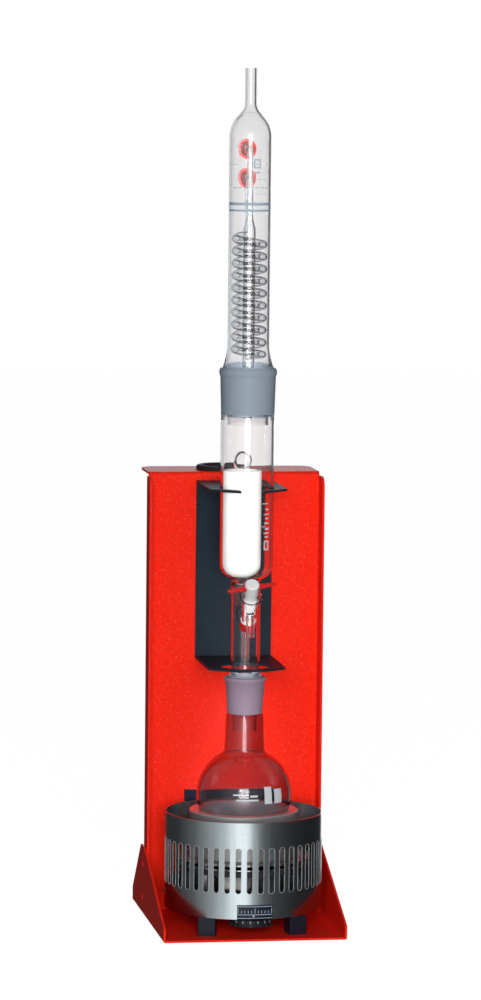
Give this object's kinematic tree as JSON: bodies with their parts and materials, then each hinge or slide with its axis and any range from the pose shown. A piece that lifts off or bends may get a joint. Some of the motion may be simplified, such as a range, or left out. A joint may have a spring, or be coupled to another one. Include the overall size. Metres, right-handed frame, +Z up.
{
  "type": "soxhlet extraction apparatus",
  "caption": "Compact Soxhlet extraction unit: folded stand with a slotted round heater, round-bottom flask, siphon extractor with drain stopcock and paper thimble, and a coil condenser on top.",
  "frame": {"origin": "under the glass axis, on the underside of the base tray", "axes": "+X right, +Y to the rear, +Z up; the open front of the stand faces -Y"},
  "size_m": [0.1666, 0.2088, 0.7664],
  "materials": {
    "red_paint": "fine textured powder coat",
    "black_paint": "fine textured powder coat",
    "shell_steel": "rolled sheet, fine brushed",
    "shield_steel": "bright rolled sheet",
    "element_steel": "dull heat-stained tube",
    "rivet_steel": "painted over, satin",
    "fastener_steel": "zinc-plated, satin",
    "scale_paint": "satin dark plate",
    "insulation": "matte pressed board",
    "ceramic": "matte unglazed",
    "bowl_aluminium": "turned, satin",
    "foot_plastic": "satin moulded",
    "black_plastic": "satin moulded",
    "dial_plastic": "satin moulded",
    "box_plastic": "fine-grained moulded",
    "glass": "clear, ground joints frosted",
    "paper": "matte felted",
    "white_plastic": "waxy satin",
    "red_plastic": "glossy moulded",
    "nozzle_plastic": "satin moulded",
    "seal_rubber": "matte",
    "rubber": "matte"
  },
  "bodies": {
    "unit": {"base_tray": "red_paint", "back_panel": "red_paint", "gusset_rivets": "rivet_steel", "holder_bracket": "black_paint", "holder_washers": "fastener_steel", "holder_nuts": "fastener_steel", "hose_grommet": "rubber", "heater_base": "shell_steel", "heater_feet": "foot_plastic", "foot_screws": "fastener_steel", "heater_shell": "shell_steel", "shell_screws": "fastener_steel", "scale_plate": "scale_paint", "support_posts": "fastener_steel", "insulating_plate": "insulation", "shield_spacers": "fastener_steel", "heat_shields": "shield_steel", "heating_element": "element_steel", "terminal_block": "ceramic", "heater_bowl": "bowl_aluminium", "power_regulator": "black_plastic", "connection_box": "box_plastic", "mains_inlet": "black_plastic", "flask": "glass", "extractor": "glass", "thimble": "paper", "condenser": "glass", "port_seals": "seal_rubber", "hose_nozzles": "nozzle_plastic", "condenser_caps": "red_plastic"},
    "dial": {"control_dial": "dial_plastic", "dial_shaft": "fastener_steel"},
    "stopcock": {"stopcock_plug": "white_plastic", "stopcock_handle": "red_plastic", "stopcock_washer": "white_plastic", "stopcock_o_ring": "rubber", "stopcock_nut": "red_plastic"}
  },
  "joints": [
    {"name": "dial_turn", "type": "hinge", "parent": "unit", "child": "dial", "pos_m": [0, -0.047, 0.0135], "axis": [0, 0, -1], "range_deg": [0, 270]},
    {"name": "stopcock_turn", "type": "hinge", "parent": "unit", "child": "stopcock", "pos_m": [-0.00239, -0.03692, 0.291], "axis": [-0.0448, -0.6932, 0.7193], "continuous": true}
  ]
}
